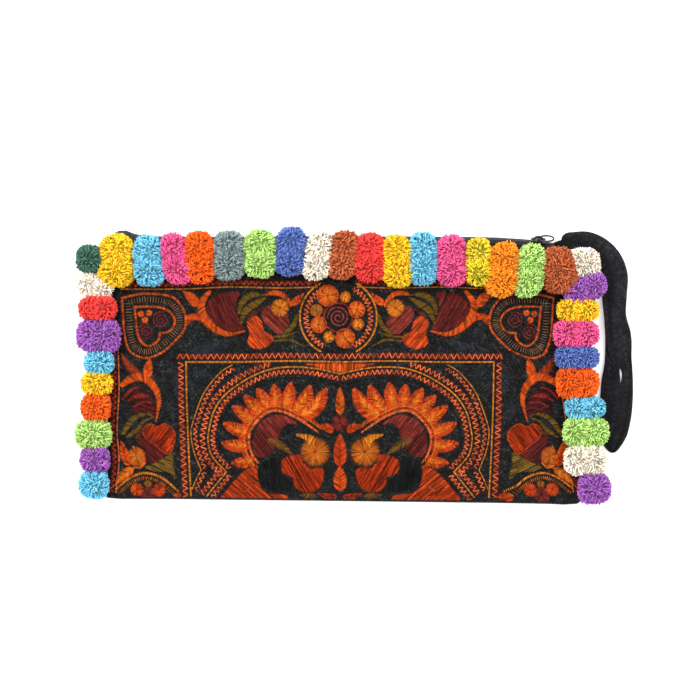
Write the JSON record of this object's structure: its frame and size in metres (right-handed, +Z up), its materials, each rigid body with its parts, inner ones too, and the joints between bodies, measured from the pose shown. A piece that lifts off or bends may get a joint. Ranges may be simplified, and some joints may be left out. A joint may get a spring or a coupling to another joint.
{
  "type": "wristlet bag",
  "caption": "Flat zipped cloth wristlet pouch with an embroidered front, a yarn pompom trim on three edges and a cloth wrist loop, lying on its back.",
  "frame": {"origin": "middle of the flat back, on the surface that the pouch lies on", "axes": "+X right along the zip, +Y from the folded bottom to the zip, +Z up out of the front"},
  "size_m": [0.3413, 0.169, 0.0295],
  "materials": {
    "embroidered_cloth": "black cotton sateen with dense orange, rust, gold, maroon and olive thread",
    "zip_tape": "woven tape",
    "zip_coil": "nylon coil",
    "zip_metal": "gunmetal",
    "strap_cloth": "folded plain cotton",
    "yarn_sky": "soft cut yarn",
    "yarn_purple": "soft cut yarn",
    "yarn_lime": "soft cut yarn",
    "yarn_orange": "soft cut yarn",
    "yarn_yellow": "soft cut yarn",
    "yarn_red": "soft cut yarn",
    "yarn_ivory": "soft cut yarn",
    "yarn_dark_green": "soft cut yarn",
    "yarn_pink": "soft cut yarn",
    "yarn_grey": "soft cut yarn",
    "yarn_royal": "soft cut yarn",
    "yarn_brown": "soft cut yarn",
    "yarn_mustard": "soft cut yarn"
  },
  "bodies": {
    "bag": {"pouch": "embroidered_cloth", "zip_tape_front": "zip_tape", "zip_tape_back": "zip_tape", "zip_chain": "zip_coil", "zip_slider": "zip_metal", "wrist_strap": "strap_cloth", "pompom_01": "yarn_sky", "pompom_02": "yarn_purple", "pompom_03": "yarn_lime", "pompom_04": "yarn_orange", "pompom_05": "yarn_yellow", "pompom_06": "yarn_sky", "pompom_07": "yarn_purple", "pompom_08": "yarn_red", "pompom_09": "yarn_ivory", "pompom_10": "yarn_dark_green", "pompom_11": "yarn_yellow", "pompom_12": "yarn_sky", "pompom_13": "yarn_pink", "pompom_14": "yarn_orange", "pompom_15": "yarn_grey", "pompom_16": "yarn_lime", "pompom_17": "yarn_royal", "pompom_18": "yarn_ivory", "pompom_19": "yarn_brown", "pompom_20": "yarn_red", "pompom_21": "yarn_yellow", "pompom_22": "yarn_sky", "pompom_23": "yarn_pink", "pompom_24": "yarn_mustard", "pompom_25": "yarn_orange", "pompom_26": "yarn_lime", "pompom_27": "yarn_brown", "pompom_28": "yarn_ivory", "pompom_29": "yarn_purple", "pompom_30": "yarn_yellow", "pompom_31": "yarn_pink", "pompom_32": "yarn_royal", "pompom_33": "yarn_orange", "pompom_34": "yarn_sky", "pompom_35": "yarn_lime", "pompom_36": "yarn_ivory", "pompom_37": "yarn_purple"},
    "pull": {"zip_pull": "zip_metal"}
  },
  "joints": [
    {"name": "pull_flip", "type": "hinge", "parent": "bag", "child": "pull", "pos_m": [0.11938, 0.07976, 0.00733], "axis": [-0.0102, -0.5545, 0.8321], "range_deg": [0, 160]}
  ]
}
